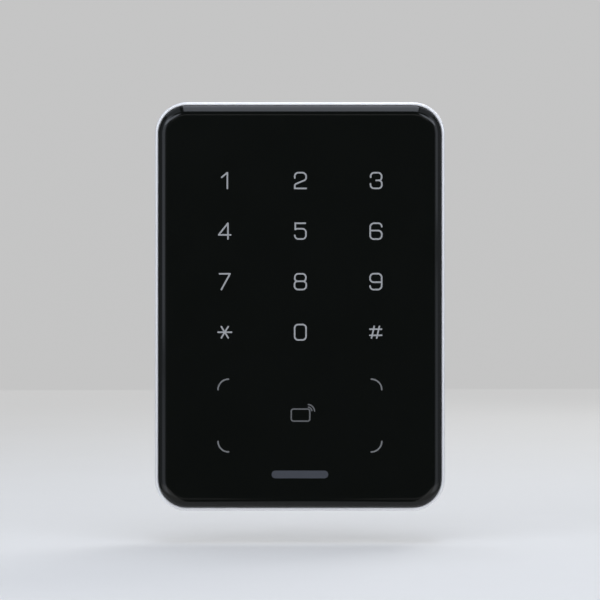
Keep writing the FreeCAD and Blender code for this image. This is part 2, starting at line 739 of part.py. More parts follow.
def lock_washer():
    """Plain washer that rides under the lock screw's head."""
    ring = pillar(LOCK_HEAD_R, TAB_LOW - WASHER, TAB_LOW - SEAT_GAP, 0, LOCK_Y)
    return ring.cut(pillar(LOCK_R + WASHER_GAP, TAB_LOW - WASHER - BEYOND, TAB_LOW + BEYOND, 0, LOCK_Y))


def lock_screw():
    """Hexagon socket screw, turned from below, that ties the frame to the bracket's tab."""
    under_head = TAB_LOW - WASHER - SEAT_GAP
    low, tip = under_head - LOCK_HEAD, under_head + LOCK_LENGTH
    shank = rounded(pillar(LOCK_R, under_head, tip, 0, LOCK_Y), 0.4, lambda p: same(p.z, tip))
    head = rounded(pillar(LOCK_HEAD_R, low, under_head, 0, LOCK_Y), 0.6, lambda p: same(p.z, low))
    corner = SOCKET_FLATS / 2 / math.cos(math.radians(30))
    points = []
    for n in range(7):
        angle = math.radians(60 * n)
        points.append(V(corner * math.cos(angle), LOCK_Y + corner * math.sin(angle), low - BEYOND))
    socket = Part.Face(Part.makePolygon(points)).extrude(V(0, 0, BEYOND + SOCKET_DEPTH))
    return union([shank, head]).cut(socket)


# ---------------------------------------------------------------- export

NODES = {
    "front_glass": front_glass,
    "glass_adhesive": glass_adhesive,
    "diffuser_film": diffuser_film,
    "metal_frame": metal_frame,
    "touch_board": touch_board,
    "touch_pads": touch_pads,
    "antenna_coil": antenna_coil,
    "light_carrier": light_carrier,
    "backlight_leds": backlight_leds,
    "board_link": board_link,
    "main_board": main_board,
    "board_screws": board_screws,
    "microcontroller": microcontroller,
    "reader_chip": reader_chip,
    "clock_crystal": clock_crystal,
    "power_inductor": power_inductor,
    "power_capacitors": power_capacitors,
    "chip_parts": chip_parts,
    "wire_header": wire_header,
    "buzzer": buzzer,
    "tamper_switch": tamper_switch,
    "tamper_spring": tamper_spring,
    "tamper_plunger": tamper_plunger,
    "housing_seal": housing_seal,
    "rear_cover": rear_cover,
    "vent_membrane": vent_membrane,
    "cable_gland": cable_gland,
    "rating_label": rating_label,
    "cover_screws": cover_screws,
    "wall_bracket": wall_bracket,
    "lock_washer": lock_washer,
    "lock_screw": lock_screw,
}


def main():
    os.makedirs("parts", exist_ok=True)
    for name, make in NODES.items():
        shape = make()
        if not shape.isValid() or not shape.Solids:
            raise RuntimeError(f"{name} is not a valid solid")
        shape.exportStep(f"parts/{name}.step")
        print(f"{name}: {len(shape.Solids)} solid(s), {shape.Volume:.2f} mm3")


main()
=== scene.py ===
import math

import bmesh
import bpy
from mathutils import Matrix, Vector


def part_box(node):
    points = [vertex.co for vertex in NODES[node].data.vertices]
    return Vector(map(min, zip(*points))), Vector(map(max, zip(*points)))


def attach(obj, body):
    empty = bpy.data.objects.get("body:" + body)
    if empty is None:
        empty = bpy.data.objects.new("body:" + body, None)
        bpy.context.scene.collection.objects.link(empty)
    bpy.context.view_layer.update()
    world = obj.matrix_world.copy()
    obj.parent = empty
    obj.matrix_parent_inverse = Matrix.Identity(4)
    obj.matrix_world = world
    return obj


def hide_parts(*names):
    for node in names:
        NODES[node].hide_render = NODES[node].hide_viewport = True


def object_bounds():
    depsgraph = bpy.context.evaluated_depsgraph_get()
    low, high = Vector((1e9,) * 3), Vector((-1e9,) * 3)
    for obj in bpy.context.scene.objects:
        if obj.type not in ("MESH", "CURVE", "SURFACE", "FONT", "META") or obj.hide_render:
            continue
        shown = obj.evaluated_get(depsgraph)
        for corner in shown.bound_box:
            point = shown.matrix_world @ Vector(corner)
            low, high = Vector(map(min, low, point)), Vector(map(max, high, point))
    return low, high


# Looks of the wall reader. Metres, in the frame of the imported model:
# +Z up, +X to the right for a person facing the glass, the glass faces -Y, the wall plane is Y = 0.

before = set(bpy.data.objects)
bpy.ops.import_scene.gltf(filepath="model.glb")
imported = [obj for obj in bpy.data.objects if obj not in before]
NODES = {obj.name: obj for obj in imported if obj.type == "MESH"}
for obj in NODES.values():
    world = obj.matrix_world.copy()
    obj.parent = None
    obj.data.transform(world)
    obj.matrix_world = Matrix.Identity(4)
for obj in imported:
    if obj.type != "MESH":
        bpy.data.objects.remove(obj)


def plain_bounds():
    """The lowest and highest corner of everything that belongs to the object."""
    low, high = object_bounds()
    return [[float(c) for c in low], [float(c) for c in high]]


CAD_BOX = plain_bounds()
MM = 0.001

# ---------------------------------------------------------------- stage, light and camera

FLOOR_DROP = 0.0095  # below the object, so that the lock screw clears it when it is let down
DISC_HALF = (0.075, 0.036)  # half width and half depth of the part of the floor that reflections show
ROOM_R = 2.6
ROOM_TOP = 1.7
ROOM_SIDES = 96
COVE_R = 0.5
COVE_STEPS = 16
NEAR_R, FAR_R = 0.3, 1.5  # between these distances the paper's own glow takes over from the light on it
NEAR_GLOW, FAR_GLOW = 0.17, 0.54
NEAR_PAPER = ((0.50, 0.50, 0.497), (0.54, 0.54, 0.537))
FAR_PAPER = (0.04, 0.04, 0.04)

VIEW_WIDTH_MM = 171.8  # width of the picture at the front of the object
LENS_MM = 180.0
SENSOR_MM = 36.0
LOOK_X = 0.03 * MM
LOOK_Z = 1.86 * MM
CLIP_NEAR, CLIP_FAR = 0.05, 20.0

WHITE = (1.0, 1.0, 1.0)
SKY = (0.83, 0.885, 1.0)
WORLD_COLOUR, WORLD_STRENGTH = (0.9, 0.97, 0.95, 1), 0.05
MIDDLE = (0.0, -0.01, 0.0)
OVERHEAD_Y, OVERHEAD_Z, OVERHEAD_DEPTH = -0.28, 0.72, 1.35

# Softboxes, aimed at the middle of the object: name, place, (width, height), radiance, colour.
# The places of the pairs are those on the right. Those below the floor show only in reflections.
PAIRED_LIGHTS = (
    ("high_arc", (0.44, -0.83, 0.41), (0.56, 0.15), 3.4, SKY),
    ("low_corner", (0.50, -0.55, -0.50), (0.95, 0.60), 0.55, WHITE),
    ("low_edge", (0.332, -0.883, -0.332), (0.62, 0.20), 0.22, WHITE),
)
SINGLE_LIGHTS = (
    ("left_side_high", (-0.55, -0.62, 0.26), (0.34, 0.60), 1.15, SKY),
    ("left_side_low", (-0.55, -0.62, -0.23), (0.34, 0.38), 0.64, SKY),
    ("right_side_high", (0.62, -0.60, 0.30), (0.32, 0.52), 0.88, SKY),
    ("right_side_low", (0.62, -0.60, -0.20), (0.32, 0.46), 0.52, SKY),
    ("left_glow", (-0.75, -0.55, 0.06), (1.1, 1.2), 0.32, SKY),
    ("right_glow", (0.80, -0.45, 0.06), (1.1, 1.2), 0.42, SKY),
    ("front_strip", (0.0, -1.30, 0.33), (0.62, 0.05), 1.25, WHITE),
    ("back_fill", (0.5, 0.9, 0.6), (0.6, 0.6), 4.0, WHITE),
    ("back_panel", (-0.1, 1.35, 0.35), (1.6, 1.3), 0.7, WHITE),
)

# ---------------------------------------------------------------- cover glass, in millimetres

GLASS_CORNER_R = 8.2
GLASS_EDGE_WIDTH = 3.1
GLASS_EDGE_DEPTH = 1.75  # the edge is a quarter of an ellipse, this deep and GLASS_EDGE_WIDTH wide
EDGE_STEPS = 28
RING_STEPS = 14  # per corner

# ---------------------------------------------------------------- printed marks, in millimetres

INK_THICK = 0.02
INK_SINK = 0.01  # how far the ink reaches into the glass
INK_STEP = 0.002  # each further stroke of a mark lies this much deeper, so that no two faces coincide
ARC_STEP, CAP_STEP = 9.0, 15.0  # degrees from point to point, along a bend and round a stroke's end
SAME_POINT = 1e-5
MITRE_LIMIT = 0.5  # least cosine of half a bend, so that a sharp bend's outer corner stays near the line
PRINT_SHIFT_X = 0.13
COLUMNS = (-21.6, 0.0, 21.6)
TOP_ROW_Z = 36.0
ROW_PITCH = 14.45
STROKE = 0.445
KEYS = ("123", "456", "789", "*0#")
KEY_NAMES = {"*": "star", "#": "hash"}

# Each stroke is a run of (x, z, corner radius) about the middle of its key. "loop" closes it.
SIX = [
    [
        (1.66, 1.25, 0), (1.66, 2.25, 1.0), (-1.64, 2.25, 1.1), (-1.64, -2.28, 1.05),
        (1.66, -2.28, 1.05), (1.66, -0.95, 0),
    ],
    [(1.66, -0.95, 0), (1.66, 0.15, 1.0), (-1.55, 0.15, 0)],
]
GLYPHS = {
    "0": [("loop", [(-1.63, -2.2, 1.0), (1.63, -2.2, 1.0), (1.63, 2.2, 1.0), (-1.63, 2.2, 1.0)])],
    "1": [("line", [(-0.88, 0.93, 0), (0.68, 2.24, 0)]), ("line", [(0.74, 2.24, 0), (0.74, -2.25, 0)])],
    "2": [
        ("line", [
            (-1.6, 0.75, 0), (-1.6, 2.25, 1.0), (1.65, 2.25, 1.1), (1.65, 0.27, 0.9),
            (-1.6, -1.09, 0.6), (-1.6, -2.25, 0),
        ]),
        ("line", [(-1.6, -2.25, 0), (1.62, -2.25, 0)]),
    ],
    "3": [
        ("line", [(-1.5, 0.93, 0), (-1.5, 2.23, 1.0), (1.62, 2.23, 1.0), (1.62, 0.05, 0.8), (0.6, 0.05, 0)]),
        ("line", [
            (0.05, 0.05, 0), (1.7, 0.05, 0.95), (1.7, -2.23, 1.0), (-1.55, -2.23, 1.0), (-1.55, -0.95, 0),
        ]),
    ],
    "4": [
        ("line", [(0.9, 2.22, 0), (0.9, -2.25, 0)]),
        ("line", [(0.86, 2.22, 0), (-1.75, -1.07, 0)]),
        ("line", [(-1.75, -1.07, 0), (1.68, -1.07, 0)]),
    ],
    "5": [
        ("line", [(1.42, 2.25, 0), (-1.45, 2.25, 0), (-1.45, 0.45, 0)]),
        ("line", [
            (-1.45, 0.45, 0), (-0.95, 0.68, 0.5), (1.6, 0.68, 1.05), (1.6, -2.25, 1.05),
            (-1.6, -2.25, 1.05), (-1.6, -1.2, 0),
        ]),
    ],
    "6": [("line", stroke) for stroke in SIX],
    "7": [("line", [(-1.5, 2.25, 0), (1.5, 2.25, 0)]), ("line", [(1.5, 2.25, 0), (-0.98, -2.26, 0)])],
    "8": [
        ("loop", [(-1.58, 0.12, 0.85), (1.58, 0.12, 0.85), (1.58, 2.25, 1.0), (-1.58, 2.25, 1.0)]),
        ("loop", [(-1.68, -2.25, 1.05), (1.68, -2.25, 1.05), (1.68, 0.12, 0.9), (-1.68, 0.12, 0.9)]),
    ],
    "9": [("line", [(-x, -z, r) for x, z, r in stroke]) for stroke in SIX],
    "*": [
        ("line", [(-1.92, 0, 0), (1.92, 0, 0)]),
        ("line", [(-0.98, -1.6, 0), (0.98, 1.6, 0)]),
        ("line", [(-0.98, 1.6, 0), (0.98, -1.6, 0)]),
    ],
    "#": [
        ("line", [(-1.72, 0.87, 0), (1.62, 0.87, 0)]),
        ("line", [(-1.72, -0.88, 0), (1.62, -0.88, 0)]),
        ("line", [(-0.5, 1.68, 0), (-1.26, -1.65, 0)]),
        ("line", [(0.98, 1.68, 0), (0.22, -1.65, 0)]),
    ],
}

CARD_X, CARD_Z = 0.0, -31.16
CORNER_HALF_X, CORNER_HALF_Z, CORNER_ARC_R = 23.4, 10.4, 3.0
CORNER_MARKS = (  # name, sides in x and z, first angle in degrees
    ("low_left", -1, -1, 180),
    ("high_left", -1, 1, 90),
    ("low_right", 1, -1, 270),
    ("high_right", 1, 1, 0),
)
CORNER_STROKE = 0.42
SYMBOL_STROKE = 0.38
SYMBOL_LEFT, SYMBOL_RIGHT = -2.47, 2.83
SYMBOL_LOW, SYMBOL_HIGH = -32.75, -29.3
SYMBOL_CORNER = 0.65
WAVE_CENTRE = (2.19, -30.0)
WAVES = ((1.26, 12, 78), (2.0, 4, 84))  # radius, first and last angle in degrees
BAR_Z, BAR_LENGTH, BAR_STROKE = -48.0, 14.0, 2.2


# ---------------------------------------------------------------- mesh helpers


def new_object(name, bm):
    """An object in the scene from a finished bmesh."""
    mesh = bpy.data.meshes.new(name)
    bm.normal_update()
    bm.to_mesh(mesh)
    bm.free()
    obj = bpy.data.objects.new(name, mesh)
    bpy.context.scene.collection.objects.link(obj)
    return obj


def arc_points(centre, radius, first, last, step=ARC_STEP):
    """Points on a circle from one angle to another, in degrees."""
    count = max(2, math.ceil(abs(last - first) / step))
    points = []
    for n in range(count + 1):
        angle = math.radians(first + (last - first) * n / count)
        points.append((centre[0] + radius * math.cos(angle), centre[1] + radius * math.sin(angle)))
    return points


def filleted(corners, closed):
    """The points of a run of corners, each rounded to its own radius."""
    count = len(corners)
    points = []
    for n, (x, z, radius) in enumerate(corners):
        here = Vector((x, z))
        if radius == 0 or (not closed and n in (0, count - 1)):
            points.append((x, z))
            continue
        back = (Vector(corners[n - 1][:2]) - here).normalized()
        ahead = (Vector(corners[(n + 1) % count][:2]) - here).normalized()
        half = back.angle(ahead) / 2
        centre = here + (back + ahead).normalized() * (radius / math.sin(half))
        start = here + back * (radius / math.tan(half)) - centre
        end = here + ahead * (radius / math.tan(half)) - centre
        first = math.degrees(math.atan2(start.y, start.x))
        turn = (math.degrees(math.atan2(end.y, end.x)) - first + 180) % 360 - 180
        points += arc_points(centre, radius, first, first + turn)
    return points


def ribbon(bm, points, width, closed, face_y):
    """A flat stroke with round ends, whose front lies at face_y. All in millimetres."""
    back_y = CAD_BOX[0][1] / MM + INK_THICK + INK_SINK
    path = [Vector(p) for n, p in enumerate(points) if math.dist(p, points[n - 1]) > SAME_POINT]
    count = len(path)
    half = width / 2
    sides = []
    for n in range(count):
        before = path[n - 1] if closed or n else path[n]
        after = path[(n + 1) % count] if closed or n < count - 1 else path[n]
        into = (path[n] - before).normalized() if (path[n] - before).length else None
        out = (after - path[n]).normalized() if (after - path[n]).length else None
        along = ((into or out) + (out or into)).normalized()
        normal = Vector((-along.y, along.x))
        run = out or into
        spread = half / max(MITRE_LIMIT, normal.dot(Vector((-run.y, run.x))))
        sides.append((path[n] + normal * spread, path[n] - normal * spread))

    def corner(point, y):
        return bm.verts.new((point[0] * MM, y * MM, point[1] * MM))

    layers = []
    for y in (face_y, back_y):
        layers.append([(corner(a, y), corner(b, y)) for a, b in sides])
    front, back = layers
    for n in range(count if closed else count - 1):
        m = (n + 1) % count
        bm.faces.new((front[n][0], front[m][0], front[m][1], front[n][1]))
        bm.faces.new((back[n][1], back[m][1], back[m][0], back[n][0]))
        bm.faces.new((front[n][0], back[n][0], back[m][0], front[m][0]))
        bm.faces.new((front[m][1], back[m][1], back[n][1], front[n][1]))
    if closed:
        return
    for n, turn in ((0, 1), (count - 1, -1)):
        a, b = sides[n]
        first = math.degrees(math.atan2((a - path[n]).y, (a - path[n]).x))
        cap = arc_points(path[n], half, first, first + turn * 180, CAP_STEP)[1:-1]
        tops = [front[n][0]] + [corner(p, face_y) for p in cap] + [front[n][1]]
        lows = [back[n][0]] + [corner(p, back_y) for p in cap] + [back[n][1]]
        bm.faces.new(tops)
        bm.faces.new(lows[::-1])
        for k in range(len(tops) - 1):
            bm.faces.new((tops[k], lows[k], lows[k + 1], tops[k + 1]))


def printed(name, strokes, material, shift=(0.0, 0.0)):
    """One printed mark on the glass, from (points, closed, width) strokes."""
    bm = bmesh.new()
    for n, (points, closed, width) in enumerate(strokes):
        moved = [(x + shift[0], z + shift[1]) for x, z in points]
        ribbon(bm, moved, width, closed, CAD_BOX[0][1] / MM + n * INK_STEP)
    bmesh.ops.recalc_face_normals(bm, faces=bm.faces)
    obj = new_object(name, bm)
    obj.data.materials.append(material)
    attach(obj, "reader")


def rounded_ring(half_x, half_z, radius):
    """Points round a rounded rectangle, the same number whatever its size."""
    corners = [(half_x, -half_z, 270), (half_x, half_z, 0), (-half_x, half_z, 90), (-half_x, -half_z, 180)]
    points = []
    for x, z, first in corners:
        centre = (x - math.copysign(radius, x), z - math.copysign(radius, z))
        points += arc_points(centre, radius, first, first + 90, 90 / RING_STEPS)
    return points


# ---------------------------------------------------------------- material helpers

REFRACTIVE_INDEX = 1.5
NOISE_SPAN = (0.3, 0.7)  # where most of a noise texture's values lie
COLOUR_A, COLOUR_B = 6, 7  # the Mix node's colour inputs


class Surface:
    """A Principled material whose colour, roughness and bump all come from procedural texture.

    The scales of textures are in repeats a metre.
    """

    def __init__(self, name, metallic=0.0, coat=0.0, coat_roughness=0.03, specular=0.5):
        self.material = bpy.data.materials.new(name)
        self.material.use_nodes = True
        self.tree = self.material.node_tree
        self.shader = self.tree.nodes["Principled BSDF"]
        for socket, value in (
            ("Metallic", metallic), ("IOR", REFRACTIVE_INDEX), ("Coat Weight", coat),
            ("Coat Roughness", coat_roughness), ("Specular IOR Level", specular),
        ):
            self.shader.inputs[socket].default_value = value
        self.place = self.tree.nodes.new("ShaderNodeTexCoord").outputs["Object"]
        self.last_bump = None

    def node(self, kind, **values):
        """A new node with some of its settings and inputs given; an underscore stands for a space."""
        made = self.tree.nodes.new(kind)
        for key, value in values.items():
            if hasattr(made, key):
                setattr(made, key, value)
            else:
                made.inputs[key.replace("_", " ")].default_value = value
        return made

    def link(self, source, target):
        self.tree.links.new(source, target)

    def stretched(self, scale):
        mapping = self.node("ShaderNodeMapping", Scale=scale)
        self.link(self.place, mapping.inputs["Vector"])
        return mapping.outputs["Vector"]

    def noise(self, scale, detail=4.0, rough=0.55, stretch=None, distortion=0.0):
        values = {"Scale": scale, "Detail": detail, "Roughness": rough, "Distortion": distortion}
        noise = self.node("ShaderNodeTexNoise", **values)
        self.link(self.stretched(stretch) if stretch else self.place, noise.inputs["Vector"])
        return noise.outputs["Fac"]

    def cells(self, scale, output="Distance"):
        cells = self.node("ShaderNodeTexVoronoi", Scale=scale)
        self.link(self.place, cells.inputs["Vector"])
        return cells.outputs[output]

    def ramp(self, source, low, high, first=0.0, last=1.0):
        """source, remapped so that low..high becomes first..last."""
        ramp = self.node("ShaderNodeMapRange", From_Min=low, From_Max=high, To_Min=first, To_Max=last)
        self.link(source, ramp.inputs["Value"])
        return ramp.outputs["Result"]

    def mix(self, factor, a, b):
        """A colour between a and b, each a colour or an output."""
        mix = self.node("ShaderNodeMix", data_type="RGBA")
        self.link(factor, mix.inputs["Factor"])
        for value, index in ((a, COLOUR_A), (b, COLOUR_B)):
            if isinstance(value, tuple):
                mix.inputs[index].default_value = (*value, 1.0)
            else:
                self.link(value, mix.inputs[index])
        return next(o for o in mix.outputs if o.type == "RGBA")

    def colour(self, output):
        self.link(output, self.shader.inputs["Base Color"])

    def roughness(self, source, smooth, rough, span=NOISE_SPAN):
        """Roughness from smooth to rough, as source goes across span."""
        self.link(self.ramp(source, *span, smooth, rough), self.shader.inputs["Roughness"])

    def bump(self, height, depth_mm, strength=1.0):
        """Adds relief: height 0..1 stands for depth_mm of real height."""
        bump = self.node("ShaderNodeBump", Strength=strength, Distance=depth_mm * MM)
        self.link(height, bump.inputs["Height"])
        if self.last_bump:
            self.link(self.last_bump, bump.inputs["Normal"])
        self.last_bump = bump.outputs["Normal"]
        self.link(self.last_bump, self.shader.inputs["Normal"])


def tinted(colour, factor):
    """The colour, lightened or darkened."""
    return tuple(min(1.0, c * factor) for c in colour)


def moulded(name, colour, rough, spread=0.12, texture_mm=0.35, depth_mm=0.012):
    """Moulded plastic with a spark-eroded texture and faint flow marks."""
    s = Surface(name)
    s.colour(s.mix(s.noise(90, detail=5), tinted(colour, 1 - spread), tinted(colour, 1 + spread)))
    s.roughness(s.noise(400, detail=6), rough - 0.07, rough + 0.09)
    s.bump(s.noise(1000 / texture_mm, detail=3, rough=0.6), depth_mm)
    s.bump(s.noise(60, detail=2), 0.02, 0.4)
    return s.material


def metal(name, colour, rough, grain=(1, 1, 1), grain_scale=2500, spread=0.08):
    """Bare or plated metal with a directional grain and uneven tarnish."""
    s = Surface(name, metallic=1.0)
    tone = s.mix(s.noise(140, detail=6), tinted(colour, 1 - spread), tinted(colour, 1 + spread))
    streak = s.noise(grain_scale, detail=5, stretch=grain)
    s.colour(s.mix(s.ramp(streak, *NOISE_SPAN, 0.0, 0.35), tone, tinted(colour, 0.72)))
    s.roughness(streak, rough - 0.08, rough + 0.14, (0.25, 0.75))
    s.bump(streak, 0.004)
    return s.material


def soft(name, colour, rough):
    """Rubber, silicone or foam with a dusty, slightly pitted skin."""
    s = Surface(name, specular=0.35)
    dust = s.ramp(s.noise(350, detail=8, rough=0.7), 0.5, 0.75)
    s.colour(s.mix(dust, colour, tinted(colour, 1.8)))
    s.roughness(s.noise(900), rough - 0.1, rough + 0.1)
    s.bump(s.cells(3500), 0.01)
    return s.material


# ---------------------------------------------------------------- materials


def glass_material():
    """Polished black glass with the faintest handling haze."""
    s = Surface("black_glass", specular=0.35)
    haze = s.noise(55, detail=7, rough=0.6, distortion=0.6)
    s.colour(s.mix(haze, (0.0025, 0.0031, 0.0026), (0.0034, 0.0040, 0.0035)))
    s.roughness(haze, 0.07, 0.13, (0.35, 0.75))
    s.bump(s.noise(25, detail=2), 0.0008)
    return s.material


def frame_material():
    """Silver die-casting, blasted and thickly lacquered."""
    s = Surface("satin_silver", metallic=0.46)
    speckle = s.noise(5200, detail=3, rough=0.7)
    base = s.mix(s.noise(45, detail=5), (0.88, 0.88, 0.888), (0.94, 0.94, 0.945))
    s.colour(s.mix(s.ramp(speckle, 0.42, 0.68), base, (0.83, 0.83, 0.84)))
    s.roughness(s.noise(700, detail=5), 0.34, 0.48)
    s.bump(speckle, 0.006)
    return s.material


def ink_material(name, colour):
    """Screen-printed ink: a little uneven, and slightly matt."""
    s = Surface(name, specular=0.3)
    s.colour(s.mix(s.noise(1500, detail=6), tinted(colour, 0.9), tinted(colour, 1.08)))
    s.roughness(s.noise(3000), 0.45, 0.65)
    s.bump(s.noise(6000), 0.002)
    return s.material


def board_material(name, mask, track, density):
    """Circuit board: solder mask over faintly raised tracks, with weave showing through."""
    s = Surface(name, coat=0.35, coat_roughness=0.15)
    brick = s.node(
        "ShaderNodeTexBrick", offset=0.37, squash=1.6, Scale=1.0,
        Mortar_Size=0.09, Brick_Width=1.9, Row_Height=0.55,
    )
    spread = s.node("ShaderNodeMapping", Rotation=(math.radians(90), 0, 0), Scale=(density,) * 3)
    s.link(s.place, spread.inputs["Vector"])
    s.link(spread.outputs["Vector"], brick.inputs["Vector"])
    tracks = brick.outputs["Fac"]
    weave = s.noise(2600, detail=2, stretch=(1, 1, 4))
    s.colour(s.mix(tracks, s.mix(weave, tinted(mask, 0.85), tinted(mask, 1.15)), track))
    s.roughness(weave, 0.28, 0.42)
    s.bump(tracks, 0.03)
    return s.material


def bracket_material():
    """Zinc-plated sheet: rolling grain, faint spangle, darker in the scuffed patches."""
    s = Surface("zinc_plate", metallic=1.0)
    spangle = s.cells(170, output="Color")
    base = s.mix(s.ramp(spangle, 0.2, 0.8), (0.58, 0.60, 0.63), (0.70, 0.72, 0.74))
    scuff = s.ramp(s.noise(75, detail=9, rough=0.72), 0.56, 0.7)
    grain = s.noise(1800, detail=5, stretch=(1.0, 1.0, 0.04))
    s.colour(s.mix(scuff, base, (0.50, 0.51, 0.52)))
    s.roughness(grain, 0.32, 0.44, (0.25, 0.75))
    s.bump(grain, 0.0015)
    s.bump(s.cells(170), 0.01, 0.3)
    return s.material


def film_material():
    """Milky diffuser film."""
    s = Surface("milky_film")
    s.colour(s.mix(s.noise(300, detail=4), (0.78, 0.80, 0.80), (0.88, 0.89, 0.89)))
    s.roughness(s.noise(1800), 0.4, 0.6)
    s.bump(s.noise(5000), 0.003)
    return s.material


def label_material():
    """Silver-grey label stock, blank."""
    s = Surface("blank_label", metallic=0.4)
    s.colour(s.mix(s.noise(3800, detail=2), (0.62, 0.63, 0.64), (0.72, 0.73, 0.74)))
    s.roughness(s.noise(900), 0.36, 0.48)
    s.bump(s.noise(150, detail=3), 0.01, 0.5)
    return s.material


def copper_material():
    """Bare copper with a little tarnish."""
    s = Surface("copper_foil", metallic=1.0)
    s.colour(s.mix(s.ramp(s.noise(420, detail=8), 0.4, 0.65), (0.86, 0.50, 0.31), (0.58, 0.33, 0.2)))
    s.roughness(s.noise(1500), 0.22, 0.4)
    s.bump(s.noise(3000), 0.004)
    return s.material


def speckled(name, colour, flecks, rough):
    """Sintered ceramic or ferrite with pale or dark flecks."""
    s = Surface(name)
    s.colour(s.mix(s.ramp(s.cells(2600), 0.0, 0.35, 1.0, 0.0), colour, flecks))
    s.roughness(s.noise(2000), rough - 0.1, rough + 0.1)
    s.bump(s.cells(2600), 0.01)
    return s.material


def led_material():
    """White package with patches of pale yellow phosphor."""
    s = Surface("led_package", coat=0.4)
    s.colour(s.mix(s.ramp(s.noise(1400, detail=4), 0.45, 0.6), (0.88, 0.88, 0.84), (0.86, 0.80, 0.46)))
    s.roughness(s.noise(2500), 0.2, 0.35)
    s.bump(s.noise(4000), 0.005)
    return s.material


MATERIALS = {
    "front_glass": glass_material(),
    "metal_frame": frame_material(),
    "glass_adhesive": soft("foam_tape", (0.016, 0.016, 0.016), rough=0.85),
    "diffuser_film": film_material(),
    "touch_board": board_material("black_board", (0.012, 0.014, 0.014), (0.02, 0.022, 0.022), density=420),
    "touch_pads": copper_material(),
    "light_carrier": moulded("white_moulding", (0.80, 0.80, 0.77), rough=0.5, spread=0.05),
    "backlight_leds": led_material(),
    "board_link": moulded("black_connector", (0.018, 0.018, 0.019), rough=0.5),
    "main_board": board_material("green_board", (0.008, 0.085, 0.034), (0.014, 0.13, 0.05), density=330),
    "board_screws": metal("zinc_screw", (0.62, 0.64, 0.67), rough=0.28),
    "microcontroller": moulded("chip_epoxy", (0.012, 0.012, 0.013), rough=0.6, texture_mm=0.12),
    "clock_crystal": metal("drawn_can", (0.7, 0.7, 0.69), rough=0.25, grain=(1, 1, 0.1)),
    "power_inductor": speckled("ferrite", (0.03, 0.03, 0.033), (0.07, 0.07, 0.075), rough=0.55),
    "power_capacitors": metal("capacitor_can", (0.74, 0.75, 0.77), rough=0.25, grain=(1, 0.05, 1)),
    "chip_parts": speckled("chip_ceramic", (0.42, 0.33, 0.24), (0.62, 0.6, 0.58), rough=0.5),
    "wire_header": moulded("ivory_connector", (0.74, 0.71, 0.62), rough=0.5, spread=0.06),
    "buzzer": moulded("buzzer_shell", (0.014, 0.014, 0.014), rough=0.4),
    "tamper_switch": moulded("switch_body", (0.04, 0.04, 0.044), rough=0.45),
    "tamper_spring": metal("spring_wire", (0.64, 0.65, 0.66), rough=0.22, grain_scale=4000),
    "tamper_plunger": moulded(
        "white_acetal", (0.76, 0.76, 0.73), rough=0.35, spread=0.05, texture_mm=0.6, depth_mm=0.006
    ),
    "housing_seal": soft("grey_silicone", (0.12, 0.125, 0.13), rough=0.6),
    "rear_cover": moulded(
        "textured_cover", (0.021, 0.022, 0.0235), rough=0.5, spread=0.14, texture_mm=0.42, depth_mm=0.03
    ),
    "vent_membrane": soft("white_membrane", (0.78, 0.78, 0.77), rough=0.8),
    "cable_gland": soft("gland_rubber", (0.014, 0.014, 0.014), rough=0.7),
    "rating_label": label_material(),
    "cover_screws": metal("stainless_screw", (0.66, 0.66, 0.67), rough=0.24, spread=0.06),
    "wall_bracket": bracket_material(),
}
SHARED = {  # nodes that take another node's material
    "antenna_coil": "touch_pads",
    "reader_chip": "microcontroller",
    "lock_washer": "cover_screws",
    "lock_screw": "cover_screws",
}
INK = ink_material("legend_ink", (0.308, 0.313, 0.319))
CORNER_INK = ink_material("corner_ink", (0.154, 0.157, 0.160))
SYMBOL_INK = ink_material("symbol_ink", (0.109, 0.111, 0.114))
BAR_INK = ink_material("bar_ink", (0.047, 0.051, 0.062))


def dress_cad_nodes():
    """Gives every CAD node its procedural material."""
    for name, obj in NODES.items():
        material = MATERIALS[SHARED.get(name, name)]
        obj.data.materials.clear()
        obj.data.materials.append(material)


# ---------------------------------------------------------------- pieces


def glass_panel():
    """The cover glass with its rounded edge, its flat front INK_THICK behind that of the printed marks."""
    low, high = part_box("front_glass")
    half_x, half_z = (high.x - low.x) / 2, (high.z - low.z) / 2
    corner_r = GLASS_CORNER_R * MM
    front = low.y + INK_THICK * MM
    levels = [(0.0, high.y)]
    for n in range(EDGE_STEPS + 1):
        angle = math.radians(90) * n / EDGE_STEPS
        inset = GLASS_EDGE_WIDTH * MM * (1 - math.cos(angle))
        levels.append((inset, front + GLASS_EDGE_DEPTH * MM * (1 - math.sin(angle))))
    bm = bmesh.new()
    rings = []
    for inset, y in levels:
        points = rounded_ring(half_x - inset, half_z - inset, corner_r - inset)
        rings.append([bm.verts.new((x, y, z)) for x, z in points])
    for a, b in zip(rings, rings[1:]):
        for n in range(len(a)):
            m = (n + 1) % len(a)
            bm.faces.new((a[n], a[m], b[m], b[n])).smooth = True
    bm.faces.new(rings[0])
    bm.faces.new(rings[-1])
    bmesh.ops.recalc_face_normals(bm, faces=bm.faces)
    obj = new_object("glass_panel", bm)
    obj.data.materials.append(MATERIALS["front_glass"])
    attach(obj, "reader")
    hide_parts("front_glass")


def print_legends():
    """The twelve key legends."""
    for row, line in enumerate(KEYS):
        for column, key in enumerate(line):
            strokes = []
            for kind, corners in GLYPHS[key]:
                closed = kind == "loop"
                strokes.append((filleted(corners, closed), closed, STROKE))
            place = (COLUMNS[column] + PRINT_SHIFT_X, TOP_ROW_Z - row * ROW_PITCH)
            printed(f"legend_{KEY_NAMES.get(key, key)}", strokes, INK, place)


